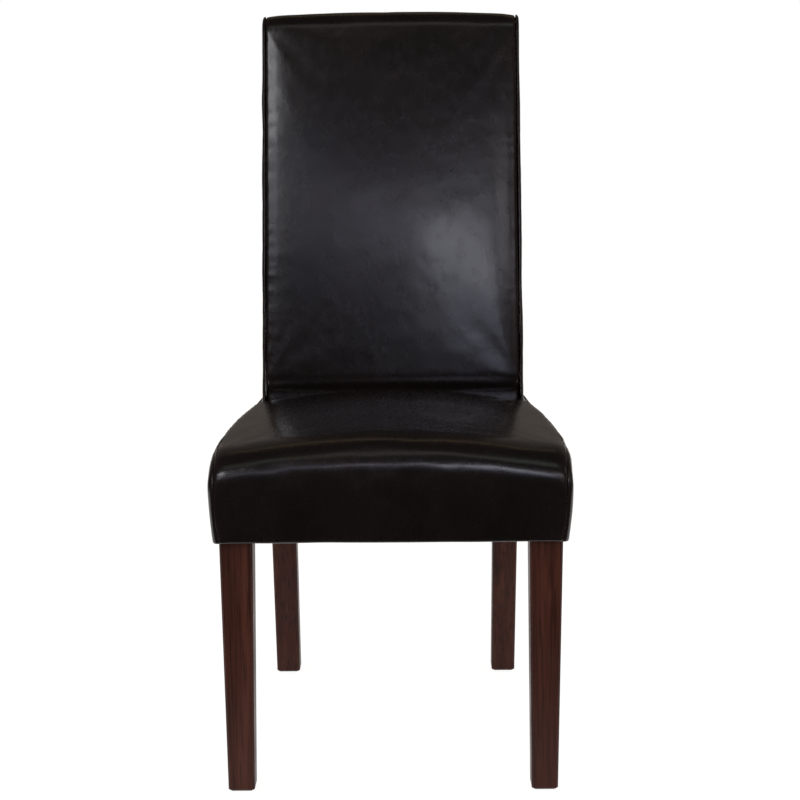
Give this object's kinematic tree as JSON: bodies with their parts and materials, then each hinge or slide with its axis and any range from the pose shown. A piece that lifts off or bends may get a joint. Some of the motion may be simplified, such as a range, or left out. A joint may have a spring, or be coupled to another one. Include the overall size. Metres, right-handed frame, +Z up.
{
  "type": "parsons dining chair",
  "caption": "Armless parsons dining chair, fully upholstered in dark bonded leather, with a crowned seat, tall raked back and square tapered wooden legs.",
  "frame": {"origin": "on the floor, under the middle of the chair's bounding box", "axes": "+X to the sitter's left as the chair faces the viewer, which is the picture's right; +Y from the front of the seat to the rear; +Z up"},
  "size_m": [0.4728, 0.6202, 1.0435],
  "materials": {
    "leg_wood": "dark reddish-brown stain under satin lacquer",
    "frame_wood": "sawn and planed hardwood, unfinished",
    "leather": "bonded leather, very dark brown, fine grain, soft sheen",
    "foam": "cut polyurethane foam",
    "webbing": "woven jute and rubber webbing",
    "cambric": "black spunbond dust cloth",
    "steel": "zinc plated",
    "glide": "dark brown nylon"
  },
  "bodies": {
    "root": {"front_left_leg": "leg_wood", "front_right_leg": "leg_wood", "rear_left_leg": "leg_wood", "rear_right_leg": "leg_wood", "front_seat_rail": "frame_wood", "rear_seat_rail": "frame_wood", "left_seat_rail": "frame_wood", "right_seat_rail": "frame_wood", "front_left_corner_block": "frame_wood", "front_right_corner_block": "frame_wood", "rear_left_corner_block": "frame_wood", "rear_right_corner_block": "frame_wood", "back_top_rail": "frame_wood", "back_middle_rail": "frame_wood", "back_lower_rail": "frame_wood", "corner_block_screws": "steel", "glide_nails": "steel", "foot_glides": "glide", "seat_webbing_lengthwise": "webbing", "seat_webbing_crosswise": "webbing", "back_webbing": "webbing", "dust_cover": "cambric", "seat_foam": "foam", "seat_front_padding": "foam", "seat_left_padding": "foam", "seat_right_padding": "foam", "seat_rear_padding": "foam", "back_front_foam": "foam", "back_rear_padding": "foam", "back_top_padding": "foam", "back_left_padding": "foam", "back_right_padding": "foam", "seat_top_front_cover": "leather", "seat_left_side_cover": "leather", "seat_right_side_cover": "leather", "back_front_cover": "leather", "outside_back_cover": "leather", "back_left_boxing": "leather", "back_right_boxing": "leather"}
  },
  "joints": []
}
